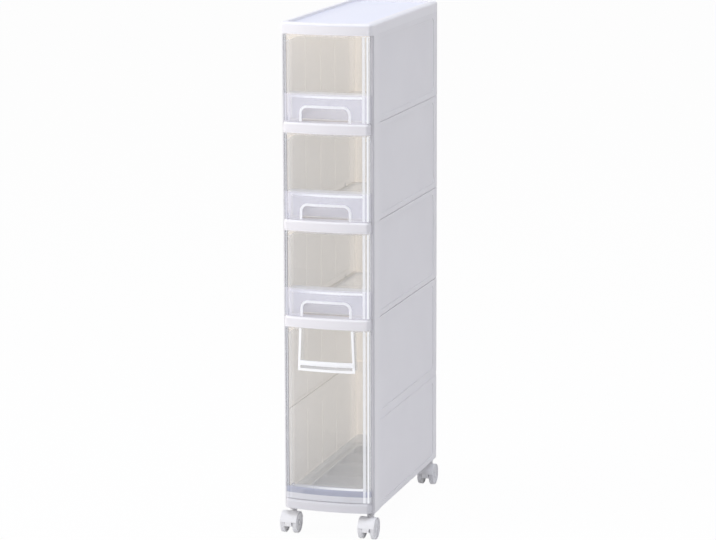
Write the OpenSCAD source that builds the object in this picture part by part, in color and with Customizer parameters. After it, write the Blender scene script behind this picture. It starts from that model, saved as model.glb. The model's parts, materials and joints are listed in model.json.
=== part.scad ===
// Slim drawer tower: three small drawers over one tall drawer, on four twin-wheel casters.
// Front faces -Y, up is +Z, the floor is z = 0 and the origin is under the middle of the body.

/* [Cabinet] */
// Width over the side panels
body_w = 180; // [168:1:240]
// Depth of the side panels, front edge to back
panel_d = 445; // [360:1:520]
// How far the front bands stand ahead of the side panels at their ends
front_reach = 12.5; // [11:0.5:16]
// How far the front bows out between its ends
front_bow = 10; // [6:0.5:12]
// Clear height of each small drawer's opening
small_clear = 165.5; // [150:0.5:230]
// Clear height of the tall drawer's opening
tall_clear = 339; // [280:1:420]
// Height of the front band of a shelf frame
band_h = 20.5; // [15:0.5:24]
// Height of the base frame
base_h = 21; // [20:0.5:28]
// Height of the top panel's skirt
top_h = 22; // [20:0.5:28]

/* [Panels and frames] */
// Thickness of a side panel at its border
panel_t = 4; // [3.5:0.1:5]
// Depth of the shallow field in a side panel's outer face
field_depth = 1; // [0.5:0.1:1.2]
// Width of the raised border at the front of a side panel
border_front = 40; // [20:1:60]
// Width of the raised border at the back of a side panel
border_back = 32; // [16:1:50]
// Height of the raised border above and below the field
border_end = 10; // [6:0.5:20]
// Corner radius of the field
field_r = 12; // [4:0.5:20]
// Stiffening ribs on the inner face of each side panel
panel_ribs = 3; // [1:1:6]
// Thickness of the back panels
back_t = 2.2; // [1.6:0.1:3]
// Wall thickness of the frames
frame_t = 3; // [2.4:0.1:3.5]
// Radius that a band's top edge is rounded over to
band_round = 5; // [2:0.5:6]
// Width of the ledges that the drawers slide on
runner_w = 16; // [13:0.5:22]
// Height of the joint strip halfway up the tall drawer
joint_h = 9; // [6:0.5:14]
// Height of that joint strip's middle above the base
joint_z = 180; // [150:1:220]
// Depth of the groove between two side panels
seam_depth = 1.5; // [0.6:0.1:2.5]
// Height of the groove between two side panels
seam_h = 2; // [1:0.1:2.4]
// Radius of the body's upright corners
edge_r = 9; // [7:0.5:10]

/* [Top panel] */
// Width of the raised rim
rim_w = 12; // [10.5:0.5:20]
// Height of the rim above the flat of the top
rim_h = 5; // [2:0.5:7]
// Radius that the rim's outer edge is rounded over to
top_round = 6; // [3:0.5:6.5]

/* [Drawers] */
// Gap between the drawer body and the panels' front returns, at each side
tray_side_gap = 4; // [3.5:0.1:6]
// Wall thickness of the drawers
tray_t = 2; // [1.6:0.1:2.5]
// Thickness of the drawer fronts
skin_t = 2.5; // [2:0.1:3]
// How far a drawer front sits behind the face of the bands
skin_back = 3.5; // [2.5:0.1:5]
// Gap above a drawer front
skin_gap_top = 2; // [1:0.1:3]
// Gap below a drawer front
skin_gap_bottom = 1.5; // [1:0.1:3]
// Gap between a small drawer's walls and the frame above
small_wall_gap = 14; // [4:1:60]
// Gap between the tall drawer's walls and the frame above
tall_wall_gap = 15; // [4:1:80]
// Distance of the stop lugs from the back of a drawer, which sets how far it pulls out
lug_inset = 59; // [20:1:140]
// Running gap under a drawer
slide_gap = 0.4; // [0.3:0.1:0.8]

/* [Finger pulls] */
// Half the width of the arch in a small drawer's front
arch_hw = 46; // [30:1:60]
// Height of the arch above the band
arch_h = 28; // [24:1:40]
// Corner radius of the arch
arch_r = 11; // [4:0.5:20]
// Width of the bead around the arch and the tall drawer's pull
bead_w = 4.8; // [2:0.1:6]
// How far the beads stand proud of the drawer front
bead_proud = 1; // [0.5:0.1:1.5]
// Height of the ledge behind a small drawer's front
ledge_z = 54; // [46:1:70]
// Depth of the finger pocket under the ledge
ledge_d = 30; // [24:1:50]
// Half the width of the tall drawer's pull at its top
pull_hw = 49; // [36:1:60]
// How much wider the pull is at its foot, at each side
pull_flare = 3; // [0:0.5:6]
// Height of the pull's window, from its lip to the top of the drawer front
pull_window = 61.5; // [40:0.5:90]
// Depth of the pull's cup below its lip
pull_cup = 15.5; // [12:0.5:24]
// Depth of the pull, front to back
pull_d = 24; // [18:1:32]
// Height of the rolled lip
lip_h = 10; // [7:0.5:12]
// How far the rolled lip stands proud of the drawer front
lip_proud = 2.5; // [1:0.1:2.8]
// Height of the tall drawer's floor above the base deck
tall_floor_z = 21; // [10:0.5:30]

/* [Casters] */
// Height of the base above the floor
caster_h = 50; // [49:0.5:60]
// Wheel diameter
wheel_d = 40; // [34:0.5:41]
// Width of one wheel
wheel_w = 9.5; // [7:0.5:10]
// Gap between the two wheels of a caster
wheel_gap = 15; // [14:0.5:17]
// How far the axle trails from the swivel
caster_trail = 14; // [12:0.5:18]
// Distance of the swivel from the side of the body
caster_inset_x = 12; // [12:0.5:20]
// Distance of the swivel from the ends of the side panels
caster_inset_y = 15; // [14:0.5:26]
// Diameter of the caster stem
stem_d = 8; // [6:0.5:8.5]
// Diameter of the wheel axle
axle_d = 4; // [3:0.5:5]
// Running clearance of a shaft in its bore, on the radius
run_fit = 0.05; // [0.03:0.01:0.09]

/* [Hidden] */

// Roundness of ordinary circles, of very large ones and of hulled ones
arc_fn = 72;
bow_fn = 360;
hull_fn = 32;
// Overlap that keeps cuts and joins clean
eps = 0.5;

// Plan of the body
half_w = body_w / 2;
overall_d = panel_d + front_reach + front_bow;
y_apex = -overall_d / 2;
y_panel = y_apex + front_bow + front_reach;
y_back = overall_d / 2;
bow_radius = (half_w * half_w + front_bow * front_bow) / (2 * front_bow);
bow_y = y_apex + bow_radius;

// The side panels' returns: flanges that turn in at the front and the back
return_w = 8;
return_t = 5;
rear_return_w = 14;
panel_front_r = 3;
groove_gap = 0.2;
groove_rib_w = 6;
groove_rib_t = 2;
back_border = 6;
back_press = 1.5;
inner_x = half_w - panel_t;
mouth_x = half_w - return_w;
back_face_y = y_back - panel_t;
ring_front_y = y_panel + return_t;
ring_back_y = back_face_y - back_t - groove_gap - groove_rib_t;

// Levels: the deck is the top face of a frame, which a drawer slides on
base_deck = caster_h + base_h;
deck_3 = base_deck + tall_clear + band_h;
deck_2 = deck_3 + small_clear + band_h;
deck_1 = deck_2 + small_clear + band_h;
top_z = deck_1 + small_clear;
overall_h = top_z + top_h;
joint_mid = caster_h + joint_z;
seam_drop = 1;
foot_lip = 2;

// Feet and heads of the five levels of panels, from the base up
panel_z0 = [
    caster_h + foot_lip,
    joint_mid + joint_h / 2,
    deck_3 - seam_drop,
    deck_2 - seam_drop,
    deck_1 - seam_drop,
];
panel_z1 = [
    joint_mid - joint_h / 2,
    deck_3 - seam_drop - seam_h,
    deck_2 - seam_drop - seam_h,
    deck_1 - seam_drop - seam_h,
    top_z,
];

// Frames
band_inset = 5;
band_hw = half_w - band_inset;
base_band_lift = 3;
front_web = 22;
deck_hole_r = 11;
plate_t = 2.5;
stiffener_lift = 5;
base_ribs = 4;
stop_w = 4;
stop_h = 10;
stop_gap = 1;
stop_setback = 1;
stop_y = ring_front_y + stop_setback;

// Top panel: the spigot drops inside the side and back panels
spigot_h = 12;
top_rib_t = 1.8;
top_rib_h = 7;
top_cross_ribs = 5;
sunk_r = 8;
hollow_r = 3;

// Drawers
tray_hw = mouth_x - tray_side_gap;
rim_gap = 0.8;
tray_rim_x = mouth_x - rim_gap;
tray_rim_t = 2;
tray_back_gap = 3;
rim_overhang = tray_rim_x - tray_hw;
tray_back_y = ring_back_y - frame_t - tray_back_gap - rim_overhang;
tray_edge_r = 5;
tray_corner_r = 10;
skin_side_gap = 5.5;
skin_hw = half_w - skin_side_gap;
skin_r = 4;
skin_return_gap = 1;
floor_t = 2.2;
lug_len = 8;
lug_h = 7;
lug_z = 1.6;
lip_inner = 1;
lug_y = tray_back_y - lug_inset - lug_len;

// Casters
swivel_x = half_w - caster_inset_x;
front_swivel_y = y_panel + caster_inset_y;
rear_swivel_y = y_back - caster_inset_y;
axle_z = wheel_d / 2;
sleeve_t = 1.5;
sleeve_r = stem_d / 2 + sleeve_t;
sleeve_h = base_h - 3;
sleeve_top_gap = 0.5;
boss_t = 2;
boss_r = sleeve_r + boss_t;
flange_t = 1.5;
bore_top = caster_h + sleeve_h - sleeve_top_gap - sleeve_t;
stem_top = bore_top - 1;
stem_seat = 10;
neck_z = caster_h - 5;
neck_r = boss_r - 0.5;
hood_gap = 1;
hood_t = 1.6;
hood_w = wheel_gap + 2 * wheel_w - 1;
hood_r = wheel_d / 2 + hood_gap + hood_t;
hood_skirt_z = axle_z + 5;
web_gap = 1;
web_w = wheel_gap - 2 * web_gap;
web_foot_z = axle_z - 3;
hub_r = 9;
axle_short = 2.5;
axle_len = wheel_gap + 2 * (wheel_w - axle_short);
axle_end_gap = 0.5;

// Where a corner circle of radius r sits that touches both the bowed face and the side
function corner_y(inset, hw, r) = bow_y - sqrt(pow(bow_radius - inset - r, 2) - pow(hw - r, 2));

// ---------- shared shapes ----------

// A rectangle with rounded corners, from its low corner
module round_rect(w, h, r) {
    translate([r, 0]) square([w - 2 * r, h]);
    translate([0, r]) square([w, h - 2 * r]);
    for (x = [r, w - r], y = [r, h - r])
        translate([x, y]) circle(r = r, $fn = arc_fn);
}

// Everything from the bowed front back to y_end, set in from its face, with rounded front corners
module bowed_plan(inset, hw, r, y_end) {
    face_r = bow_radius - inset;
    cx = hw - r;
    cy = corner_y(inset, hw, r);
    reach = (face_r + r) / (face_r - r);
    tip_x = cx * reach;
    tip_y = bow_y + (cy - bow_y) * reach;
    intersection() {
        union() {
            intersection() {
                translate([0, bow_y]) circle(r = face_r, $fn = bow_fn);
                polygon([
                    [-cx, cy], [-tip_x, tip_y], [0, tip_y - 2 * front_bow],
                    [tip_x, tip_y], [cx, cy], [0, cy + eps],
                ]);
            }
            for (x = [-cx, cx]) translate([x, cy]) circle(r = r, $fn = arc_fn);
            translate([-hw, cy]) square([2 * hw, y_end - cy]);
        }
        translate([-half_w, y_apex - eps]) square([body_w, y_end - y_apex + eps]);
    }
}

// The body's outline behind the side panels' front edges, set in all round but at the front
module body_plan(inset) {
    r = edge_r - inset;
    x = half_w - inset;
    y = y_back - inset;
    fr = panel_front_r;
    translate([-x, y_panel + fr]) square([2 * x, y - y_panel - fr - r]);
    translate([-x + fr, y_panel]) square([2 * (x - fr), fr + eps]);
    translate([-x + r, y - r - eps]) square([2 * (x - r), r + eps]);
    for (s = [-1, 1]) {
        translate([s * (x - fr), y_panel + fr]) circle(r = fr, $fn = arc_fn);
        translate([s * (x - r), y - r]) circle(r = r, $fn = arc_fn);
    }
}

// Half section of a rounded puck: w is its radius, and its top edge is rounded over
module edge_section(z0, z1, w, round_r) {
    flat = w - round_r;
    translate([0, z0]) square([w, z1 - round_r - z0]);
    translate([0, z0]) square([flat, z1 - z0]);
    translate([flat, z1 - round_r]) intersection() {
        circle(r = round_r, $fn = hull_fn);
        square(round_r);
    }
}

// A bowed form with its top edge rounded, hulled from a puck at each corner and the bowed front edge
module bowed_form(z0, z1, hw, y_end, round_r) {
    cx = hw - edge_r;
    front_y = corner_y(0, hw, edge_r);
    phi = atan2(cx, bow_y - front_y);
    hull() {
        for (x = [-cx, cx], y = [front_y, y_end - edge_r])
            translate([x, y, 0]) rotate_extrude($fn = hull_fn) edge_section(z0, z1, edge_r, round_r);
        translate([0, bow_y, 0]) rotate([0, 0, -90 - phi])
            rotate_extrude(angle = 2 * phi, $fn = bow_fn)
                translate([bow_radius - edge_r, 0]) edge_section(z0, z1, edge_r, round_r);
    }
}

// Repeats a right-hand shape on the left
module both_sides() {
    children();
    mirror([1, 0, 0]) children();
}

// A block between two corners
module block(a, b) {
    translate(a) cube(b - a);
}

// A 2D shape drawn with Y across and Z up, made solid from x0 to x1
module along_x(x0, x1) {
    translate([x0, 0, 0]) rotate([90, 0, 90]) linear_extrude(x1 - x0) children();
}

// A 2D shape drawn with X across and Z up, made solid from y0 to y1
module along_y(y0, y1) {
    translate([0, y1, 0]) rotate([90, 0, 0]) linear_extrude(y1 - y0) children();
}

// ---------- panels ----------

// Plan of one side panel: wall, front and rear returns, and the rib that holds the back panel
module side_profile() {
    intersection() {
        difference() {
            body_plan(0);
            square([2 * inner_x, 2 * (y_back - panel_t)], center = true);
        }
        translate([mouth_x - rear_return_w, y_panel]) square([half_w, panel_d]);
    }
    translate([mouth_x, y_panel + panel_front_r])
        square([return_w - panel_t + eps, return_t - panel_front_r]);
    translate([mouth_x, y_panel]) square([return_w - panel_t, panel_front_r + eps]);
    translate([inner_x - groove_rib_w, ring_back_y]) square([groove_rib_w + eps, groove_rib_t]);
}

// A side panel for the right-hand side
module side_panel(z0, z1) {
    field_y = y_panel + border_front;
    field_len = panel_d - border_front - border_back;
    field_h = z1 - z0 - 2 * border_end;
    rib_w = 3;
    bay = (field_len - (panel_ribs + 1) * rib_w) / (panel_ribs + 1);
    difference() {
        translate([0, 0, z0]) linear_extrude(z1 - z0) side_profile();
        // shallow field in the outer face
        along_x(half_w - field_depth, half_w + eps)
            translate([field_y, z0 + border_end]) round_rect(field_len, field_h, field_r);
        // bays between the ribs on the inner face
        for (i = [0:panel_ribs])
            along_x(inner_x - eps, inner_x + field_depth)
                translate([field_y + rib_w / 2 + i * (bay + rib_w), z0 + border_end + rib_w])
                    square([bay, field_h - 2 * rib_w]);
    }
}

module right_panel(level) color("whitesmoke") side_panel(panel_z0[level], panel_z1[level]);

module left_panel(level) color("whitesmoke")
    mirror([1, 0, 0]) side_panel(panel_z0[level], panel_z1[level]);

// A back panel: a thin sheet in the side panels' grooves, with a field pressed out of it
module back_panel(level) color("antiquewhite") {
    z0 = panel_z0[level];
    z1 = panel_z1[level];
    hw = inner_x - groove_gap;
    y0 = back_face_y - back_t - groove_gap / 2;
    field_hw = inner_x - rear_return_w - back_border;
    difference() {
        union() {
            block([-hw, y0, z0], [hw, y0 + back_t, z1]);
            along_y(y0 + back_press, y0 + back_press + back_t) back_field(field_hw, z0, z1, 0);
        }
        // the field is pressed out from the inside, so its wall stays thin
        along_y(y0 - eps, y0 + back_press) back_field(field_hw, z0, z1, back_t);
    }
}

// Outline of a back panel's raised field, shrunk by inset
module back_field(hw, z0, z1, inset) {
    margin = border_end + inset;
    translate([-hw + inset, z0 + margin])
        round_rect(2 * (hw - inset), z1 - z0 - 2 * margin, field_r - inset);
}

// ---------- frames ----------

// The thin flange that stands between two levels of panels, hollow in the middle
module seam_flange(z0, h, depth) {
    translate([0, 0, z0]) linear_extrude(h) difference() {
        union() {
            body_plan(depth);
            intersection() {
                body_plan(0);
                translate([-half_w, y_panel]) square([body_w, border_front]);
            }
        }
        translate([-inner_x + frame_t, ring_front_y])
            square([2 * (inner_x - frame_t), ring_back_y - frame_t - ring_front_y]);
        mouth_plan();
    }
}

// The gap between the side panels' front returns
module mouth_plan() {
    translate([-mouth_x, y_panel - eps]) square([2 * mouth_x, return_t + 2 * eps]);
}

// The upright wall of a frame, inside the side and back panels
module frame_wall(z0, z1) {
    x = inner_x;
    block([-x, ring_front_y, z0], [-x + frame_t, ring_back_y, z1]);
    block([x - frame_t, ring_front_y, z0], [x, ring_back_y, z1]);
    block([-x, ring_back_y - frame_t, z0], [x, ring_back_y, z1]);
}

// The bowed front band: a hollow box, open below, whose side returns end at the side panels' front edges
module front_band(z0, z1) {
    difference() {
        bowed_form(z0, z1, band_hw, y_panel + 3 * edge_r, band_round);
        block([-half_w, y_panel, z0 - eps], [half_w, y_back, z1 + eps]);
        translate([0, 0, z0 - eps]) linear_extrude(z1 - frame_t - z0 + eps)
            bowed_plan(frame_t, band_hw - frame_t, edge_r - frame_t, y_panel + eps);
    }
}

// The flat deck behind the band: front web, side ledges and rear ledge
module deck_web(z1) {
    hole_x = inner_x - runner_w;
    hole_y = y_panel + front_web;
    translate([0, 0, z1 - frame_t]) linear_extrude(frame_t) difference() {
        union() {
            mouth_plan();
            translate([-inner_x, ring_front_y]) square([2 * inner_x, ring_back_y - ring_front_y]);
        }
        translate([-hole_x, hole_y]) round_rect(2 * hole_x, ring_back_y - runner_w - hole_y, deck_hole_r);
    }
}

// Blocks at the front corners of a deck that catch the drawer's lugs
module drawer_stops(z) {
    both_sides()
        block([tray_hw + stop_gap, stop_y, z - eps], [inner_x, stop_y + stop_w, z + stop_h]);
}

// A shelf frame between two drawers
module shelf_frame(deck) color("white") {
    low = deck - band_h;
    front_band(low, deck);
    deck_web(deck);
    frame_wall(low, deck);
    seam_flange(deck - seam_drop - seam_h, seam_h, seam_depth);
    drawer_stops(deck);
    front_stiffener(low + stiffener_lift, deck - frame_t + eps);
}

// The cross wall that stiffens a frame behind its front
module front_stiffener(z0, z1) {
    block([-inner_x + eps, ring_front_y + frame_t, z0], [inner_x - eps, ring_front_y + 2 * frame_t, z1]);
}

// The joint frame halfway up the tall drawer, open at the front
module joint_frame() color("white") {
    seam_flange(joint_mid - joint_h / 2, joint_h, seam_depth / 2);
    frame_wall(joint_mid - joint_h - frame_t, joint_mid + joint_h + frame_t);
}

// The base frame: bottom plate, ribs, bosses for the caster sockets, and the deck for the tall drawer
module base_frame() color("white") {
    rib_t = 2;
    z0 = caster_h;
    rib_z1 = base_deck - frame_t + eps;
    bay = (ring_back_y - ring_front_y) / (base_ribs + 1);
    difference() {
        union() {
            front_band(z0 + base_band_lift, base_deck);
            deck_web(base_deck);
            frame_wall(z0, base_deck);
            seam_flange(z0, foot_lip, seam_depth);
            drawer_stops(base_deck);
            // bottom plate and its front wall; the bowed front ahead of it is open below
            block([-inner_x, ring_front_y, z0], [inner_x, ring_back_y, z0 + plate_t]);
            block([-inner_x, ring_front_y, z0], [inner_x, ring_front_y + frame_t, rib_z1]);
            // cross ribs
            for (i = [1:base_ribs])
                translate([-inner_x + eps, ring_front_y + i * bay, z0 + eps])
                    cube([2 * (inner_x - eps), rib_t, rib_z1 - z0 - eps]);
            // caster bosses within the walls, the front ones backed by corner blocks
            intersection() {
                block([-inner_x, ring_front_y, z0], [inner_x, ring_back_y, z0 + sleeve_h + sleeve_t]);
                union() {
                    at_swivels() translate([0, 0, z0]) cylinder(r = boss_r, h = 2 * sleeve_h, $fn = arc_fn);
                    both_sides()
                        block([swivel_x, ring_front_y, z0], [inner_x, front_swivel_y, z0 + 2 * sleeve_h]);
                }
            }
        }
        at_swivels() translate([0, 0, z0 - eps]) cylinder(r = sleeve_r, h = sleeve_h + eps, $fn = arc_fn);
    }
}

// The four places where casters turn
module at_swivels() {
    for (x = [-swivel_x, swivel_x], y = [front_swivel_y, rear_swivel_y]) translate([x, y, 0]) children();
}

// ---------- top panel ----------

// The top panel: a rounded rim round a sunk flat, hollow and ribbed below
module top_panel() color("white") {
    z1 = overall_h;
    flat_z = z1 - rim_h;
    under_z = flat_z - plate_t;
    rib_z = under_z - top_rib_h;
    bay = (ring_back_y - ring_front_y) / (top_cross_ribs + 1);
    difference() {
        bowed_form(top_z, z1, half_w, y_back, top_round);
        // the hollow under the top
        translate([0, 0, top_z - eps]) linear_extrude(under_z - top_z + eps)
            bowed_plan(panel_t, inner_x, hollow_r, back_face_y);
        // the sunk flat
        translate([0, 0, flat_z]) linear_extrude(rim_h + eps)
            bowed_plan(rim_w, half_w - rim_w, sunk_r, y_back - rim_w - sunk_r);
        translate([-half_w + rim_w, y_back - rim_w - 3 * sunk_r, flat_z])
            linear_extrude(rim_h + eps) round_rect(body_w - 2 * rim_w, 3 * sunk_r, sunk_r);
    }
    frame_wall(top_z - spigot_h, under_z + eps);
    front_stiffener(top_z + stiffener_lift, under_z + eps);
    // ribs under the flat
    for (i = [1:top_cross_ribs])
        translate([-inner_x + eps, ring_front_y + i * bay, rib_z])
            cube([2 * (inner_x - eps), top_rib_t, top_rib_h + eps]);
    for (x = [-half_w / 3, half_w / 3 - top_rib_t])
        block([x, ring_front_y + frame_t, rib_z], [x + top_rib_t, ring_back_y - eps, under_z + eps]);
}

// ---------- drawers ----------

// The clear front: a bowed skin with returns at its sides and top
module drawer_skin(z0, z1) {
    back = y_panel - skin_return_gap;
    translate([0, 0, z0]) linear_extrude(z1 - z0) difference() {
        bowed_plan(skin_back, skin_hw, skin_r, back);
        bowed_plan(skin_back + skin_t, skin_hw - tray_t, skin_r - tray_t, back + eps);
    }
    translate([0, 0, z1 - tray_t]) linear_extrude(tray_t)
        bowed_plan(skin_back + eps, skin_hw - eps, skin_r - eps, back);
}

// Outside of a drawer body, or with an inset its inside: rounded lower edges and back corners
module tray_form(inset, z0, z1) {
    hw = tray_hw - inset;
    y1 = tray_back_y - inset;
    r_edge = tray_edge_r - inset;
    r_corner = tray_corner_r - inset;
    intersection() {
        along_y(y_apex, y1) {
            translate([-hw, z0 + r_edge]) square([2 * hw, z1 - z0 - r_edge]);
            translate([-hw + r_edge, z0]) square([2 * (hw - r_edge), r_edge + eps]);
            for (x = [-hw + r_edge, hw - r_edge])
                translate([x, z0 + r_edge]) circle(r = r_edge, $fn = arc_fn);
        }
        translate([0, 0, z0 - eps]) linear_extrude(z1 - z0 + 2 * eps) {
            translate([-hw, y_apex]) square([2 * hw, y1 - r_corner - y_apex]);
            translate([-hw + r_corner, y_apex]) square([2 * (hw - r_corner), y1 - y_apex]);
            for (x = [-hw + r_corner, hw - r_corner])
                translate([x, y1 - r_corner]) circle(r = r_corner, $fn = arc_fn);
        }
    }
}

// The rim round the top of a drawer body
module tray_rim(z) {
    inner_hw = tray_hw - tray_t;
    inner_r = tray_corner_r - tray_t;
    start_y = y_apex - half_w;
    translate([0, 0, z - tray_rim_t]) linear_extrude(tray_rim_t) difference() {
        translate([-tray_rim_x, start_y])
            round_rect(2 * tray_rim_x, tray_back_y + rim_overhang - start_y, tray_corner_r + rim_overhang);
        translate([-inner_hw, start_y - eps])
            round_rect(2 * inner_hw, tray_back_y - tray_t - start_y + eps, inner_r);
        translate([-half_w, start_y - eps]) square([body_w, y_panel - skin_return_gap - start_y + eps]);
    }
}

// The lugs low on a drawer's sides that meet the stops when it is fully out
module tray_lugs(z) {
    both_sides()
        block([tray_hw - eps, lug_y, z + lug_z], [tray_rim_x, lug_y + lug_len, z + lug_z + lug_h]);
}

// A window with square feet and rounded shoulders, in front view
module arch(hw, z0, z1, r) {
    translate([-hw, z0]) square([2 * hw, z1 - r - z0]);
    translate([-hw + r, z0]) square([2 * (hw - r), z1 - z0]);
    for (x = [-hw + r, hw - r]) translate([x, z1 - r]) circle(r = r, $fn = arc_fn);
}

// The slice of space between two depths behind the bowed face
module face_slice(front, back, z0, z1) {
    translate([0, 0, z0]) linear_extrude(z1 - z0) difference() {
        translate([0, bow_y]) circle(r = bow_radius - front, $fn = bow_fn);
        translate([0, bow_y]) circle(r = bow_radius - back, $fn = bow_fn);
        translate([-2 * bow_radius, bow_y - bow_radius / 2]) square([4 * bow_radius, 2 * bow_radius]);
    }
}

// A small drawer: clear body, bowed front, arch pull and the finger pocket behind it
module small_drawer(deck) color("lightcyan", 0.45) {
    z0 = deck + slide_gap;
    front_z0 = deck + skin_gap_bottom;
    front_z1 = deck + small_clear - skin_gap_top;
    wall_z1 = deck + small_clear - small_wall_gap;
    pocket_y = y_apex + skin_back + skin_t + ledge_d;
    ledge = deck + ledge_z;
    inner_hw = tray_hw - tray_t;
    bead_front = skin_back - bead_proud;
    bead_back = skin_back + skin_t + bead_proud;
    difference() {
        union() {
            // body, cut to the bowed front
            intersection() {
                difference() {
                    tray_form(0, z0, wall_z1);
                    tray_form(tray_t, z0 + floor_t, wall_z1 + eps);
                }
                translate([0, 0, z0 - eps]) linear_extrude(wall_z1 - z0 + 2 * eps)
                    bowed_plan(skin_back + skin_t / 2, tray_hw + eps, skin_r, y_back);
            }
            drawer_skin(front_z0, front_z1);
            tray_rim(wall_z1);
            tray_lugs(deck);
            // the ledge and the inner wall of the finger pocket
            intersection() {
                block([-inner_hw - eps, y_apex, z0 + eps], [inner_hw + eps, pocket_y + tray_t, ledge]);
                translate([0, 0, z0]) linear_extrude(small_clear)
                    bowed_plan(skin_back + skin_t / 2, tray_hw - eps, skin_r, y_back);
            }
            // bead round the arch
            intersection() {
                face_slice(bead_front, bead_back, front_z0, deck + arch_h + bead_w + eps);
                along_y(y_apex, y_panel)
                    arch(arch_hw + bead_w, front_z0, deck + arch_h + bead_w, arch_r + bead_w);
            }
        }
        // the pocket, open below
        intersection() {
            block([-inner_hw, y_apex, z0 - eps], [inner_hw, pocket_y, ledge - tray_t]);
            translate([0, 0, z0 - 2 * eps]) linear_extrude(small_clear)
                bowed_plan(skin_back + skin_t, inner_hw + eps, skin_r, y_back);
        }
        // the drawer's walls stop above the band, ahead of the panels
        block([-half_w, y_apex - eps, z0 - eps], [half_w, y_panel - skin_return_gap, front_z0]);
        // the arch
        along_y(y_apex - eps, pocket_y - tray_t) arch(arch_hw, z0 - eps, deck + arch_h, arch_r);
    }
}

// The window and cup of the tall drawer's pull, in front view
module pull_outline(grow, z0, z1) {
    polygon([
        [-pull_hw - pull_flare - grow, z0],
        [pull_hw + pull_flare + grow, z0],
        [pull_hw + grow, z1],
        [-pull_hw - grow, z1],
    ]);
}

// The tall drawer: clear body on deep skirts, bowed front, and a cup pull with a rolled lip
module tall_drawer() color("lightcyan", 0.45) {
    deck = base_deck;
    z0 = deck + slide_gap;
    front_z0 = deck + skin_gap_bottom;
    front_z1 = deck + tall_clear - skin_gap_top;
    wall_z1 = deck + tall_clear - tall_wall_gap;
    lip_z1 = front_z1 - pull_window;
    cup_z = lip_z1 - pull_cup;
    pull_y = y_apex + skin_back + skin_t + pull_d;
    lip_front = skin_back - lip_proud;
    lip_back = skin_back + skin_t + lip_inner;
    lip_r = (lip_back - lip_front) / 2;
    bead_front = skin_back - bead_proud;
    bead_back = skin_back + skin_t + bead_proud;
    floor_z = deck + tall_floor_z;
    difference() {
        union() {
            intersection() {
                difference() {
                    tray_form(0, z0, wall_z1);
                    tray_form(tray_t, floor_z, wall_z1 + eps);
                    tray_form(tray_t, z0 - tray_edge_r, floor_z - floor_t);
                }
                translate([0, 0, z0 - eps]) linear_extrude(wall_z1 - z0 + 2 * eps)
                    bowed_plan(skin_back + skin_t / 2, tray_hw + eps, skin_r, y_back);
            }
            drawer_skin(front_z0, front_z1);
            tray_rim(wall_z1);
            tray_lugs(deck);
            // walls and floor of the cup
            intersection() {
                along_y(y_apex, pull_y + tray_t) pull_outline(tray_t, cup_z - tray_t, front_z1);
                translate([0, 0, cup_z - tray_t]) linear_extrude(front_z1 - cup_z + tray_t)
                    bowed_plan(skin_back + skin_t / 2, tray_hw - eps, skin_r, y_back);
            }
            // bead round the cup, on the face of the front
            intersection() {
                face_slice(bead_front, bead_back, cup_z - bead_w, front_z1);
                along_y(y_apex, y_panel) difference() {
                    pull_outline(bead_w, cup_z - bead_w, front_z1);
                    pull_outline(0, cup_z, front_z1 + eps);
                }
            }
        }
        // the cup, behind the front
        intersection() {
            along_y(y_apex, pull_y) pull_outline(0, cup_z, front_z1 + eps);
            translate([0, 0, cup_z - eps]) linear_extrude(front_z1 - cup_z + 2 * eps)
                bowed_plan(skin_back + skin_t, tray_hw, skin_r, y_back);
        }
        // the window, above the lip
        along_y(y_apex - eps, pull_y) pull_outline(0, lip_z1 - lip_r, front_z1 + eps);
        // the drawer's walls stop above the band, ahead of the panels
        block([-half_w, y_apex - eps, z0 - eps], [half_w, y_panel - skin_return_gap, front_z0]);
    }
    // rolled lip
    intersection() {
        translate([0, bow_y, 0]) rotate_extrude($fn = bow_fn) lip_section(lip_front, lip_back, lip_z1);
        along_y(y_apex, y_panel) pull_outline(tray_t / 2, cup_z, front_z1);
    }
}

// Section of the rolled lip: a thick rounded bar
module lip_section(front, back, z1) {
    r = (back - front) / 2;
    x = bow_radius - back;
    translate([x, z1 - lip_h + r]) square([2 * r, lip_h - 2 * r]);
    for (z = [z1 - lip_h + r, z1 - r]) translate([x + r, z]) circle(r = r, $fn = arc_fn);
}

// ---------- casters ----------

// Puts a caster part at its corner: s is the side, y the swivel's place
module at_caster(s, y) {
    translate([s * swivel_x, y, 0]) children();
}

// The sleeve that the stem turns in
module caster_socket() color("lightgray") {
    difference() {
        union() {
            translate([0, 0, caster_h - flange_t]) cylinder(r = boss_r, h = flange_t, $fn = arc_fn);
            translate([0, 0, caster_h - eps])
                cylinder(r = sleeve_r, h = sleeve_h + eps - sleeve_top_gap, $fn = arc_fn);
        }
        translate([0, 0, neck_z]) cylinder(r = stem_d / 2 + run_fit, h = bore_top - neck_z, $fn = arc_fn);
    }
}

// The steel stem, with a rounded head and the groove of its snap ring
module caster_stem() color("silver") {
    r = stem_d / 2;
    head_r = 1;
    groove = 0.4;
    groove_h = 1.2;
    foot = neck_z - stem_seat;
    rotate_extrude($fn = arc_fn) difference() {
        union() {
            translate([0, foot]) square([r, stem_top - head_r - foot]);
            translate([0, stem_top - 2 * head_r]) square([r - head_r, 2 * head_r]);
            translate([r - head_r, stem_top - head_r]) circle(r = head_r, $fn = arc_fn);
        }
        translate([r - groove, stem_top - 5 * groove_h]) square([2 * groove, groove_h]);
    }
}

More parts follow.
